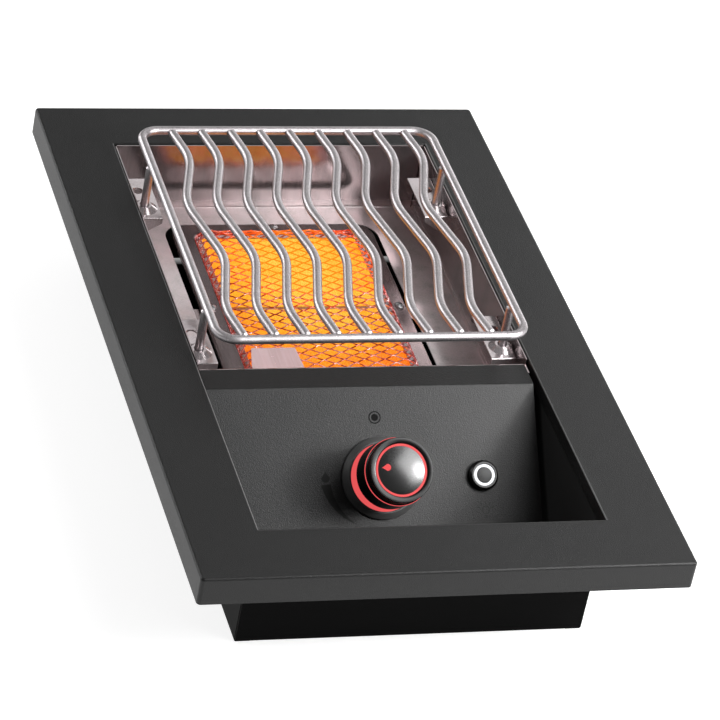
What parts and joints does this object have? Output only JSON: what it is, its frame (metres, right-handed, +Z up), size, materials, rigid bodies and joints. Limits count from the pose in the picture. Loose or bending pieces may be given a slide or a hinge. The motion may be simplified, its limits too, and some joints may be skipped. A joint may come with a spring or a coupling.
{
  "type": "built-in side burner",
  "caption": "Built-in gas side burner: dark flanged frame, stainless firebox, ceramic infrared burner under a wire grate, sloping panel with lit knob and lit push button.",
  "frame": {"origin": "under the centre of the trim frame, level with the bottom of the housing", "axes": "+Y towards the back, +X to the right as seen from the controls, +Z up"},
  "size_m": [0.368, 0.597, 0.1365],
  "materials": {
    "charcoal_powder": "fine satin powder coat",
    "black_sheet": "satin",
    "liner_stainless": "satin",
    "bracket_stainless": "satin",
    "grate_stainless": "satin",
    "burner_steel": "heat tinted satin",
    "mesh_steel": "heat tinted",
    "ceramic": "unglazed ceramic",
    "ceramic_glazed": "glazed ceramic",
    "ceramic_fibre": "pressed fibre",
    "zinc_steel": "zinc plated",
    "brass": "machined",
    "valve_alloy": "die cast",
    "knob_black": "gloss",
    "knob_satin": "satin",
    "dark_chrome": "dark polished",
    "red_light": "lit diffuser",
    "white_light": "lit diffuser",
    "nylon_black": "moulded",
    "lead_rubber": "silicone sleeve"
  },
  "bodies": {
    "case": {"air_shutter": "burner_steel", "bezel_light_ring": "red_light", "burner_mesh": "mesh_steel", "burner_plenum": "burner_steel", "burner_screws": "zinc_steel", "burner_straps": "burner_steel", "burner_tray": "burner_steel", "button_housing": "knob_black", "button_light_ring": "white_light", "button_nut": "nylon_black", "case_screws": "zinc_steel", "control_panel": "charcoal_powder", "electrode_insulator": "ceramic_glazed", "electrode_rod": "zinc_steel", "firebox_back": "liner_stainless", "firebox_floor": "liner_stainless", "firebox_front": "liner_stainless", "firebox_left": "liner_stainless", "firebox_rail_left": "liner_stainless", "firebox_rail_right": "liner_stainless", "firebox_right": "liner_stainless", "gas_inlet_pipe": "zinc_steel", "gas_orifice": "brass", "gas_tube": "valve_alloy", "gas_valve_body": "valve_alloy", "grate_bracket_front_left": "bracket_stainless", "grate_bracket_front_right": "bracket_stainless", "grate_bracket_rear_left": "bracket_stainless", "grate_bracket_rear_right": "bracket_stainless", "housing_back": "black_sheet", "housing_front": "black_sheet", "housing_left": "black_sheet", "housing_right": "black_sheet", "igniter_cover": "burner_steel", "ignition_lead": "lead_rubber", "inlet_bracket": "zinc_steel", "inlet_fitting": "brass", "knob_bezel": "knob_satin", "mixing_tube": "burner_steel", "spark_module": "nylon_black", "tile_divider": "burner_steel", "tile_front": "ceramic", "tile_gasket": "ceramic_fibre", "tile_rear": "ceramic", "trim_frame": "charcoal_powder", "valve_bracket": "zinc_steel"},
    "stem_slider": {"stem_collar": "zinc_steel"},
    "knob": {"valve_stem": "brass", "knob_body": "knob_black", "knob_side_light": "red_light", "knob_cap": "knob_black", "knob_trim_ring": "dark_chrome", "knob_face_light": "red_light", "knob_face": "knob_black"},
    "button": {"button_cap": "knob_black"},
    "grate": {"grate_frame": "grate_stainless", "grate_rods": "grate_stainless", "grate_legs": "grate_stainless"}
  },
  "joints": [
    {"name": "knob_push", "type": "slide", "parent": "case", "child": "stem_slider", "axis": [0, 0.7071, -0.7071], "range_m": [0, 0.003], "stiffness_N_per_m": 900, "springref_m": -0.004},
    {"name": "knob_turn", "type": "hinge", "parent": "stem_slider", "child": "knob", "pos_m": [0.002, -0.12549, 0.05091], "axis": [0, -0.7071, 0.7071], "range_deg": [-90, 60]},
    {"name": "button_push", "type": "slide", "parent": "case", "child": "button", "axis": [0, 0.7071, -0.7071], "range_m": [0, 0.0015], "stiffness_N_per_m": 700, "springref_m": -0.002},
    {"name": "grate_lift", "type": "slide", "parent": "case", "child": "grate", "axis": [0, 0, 1], "range_m": [0, 0.06]}
  ]
}
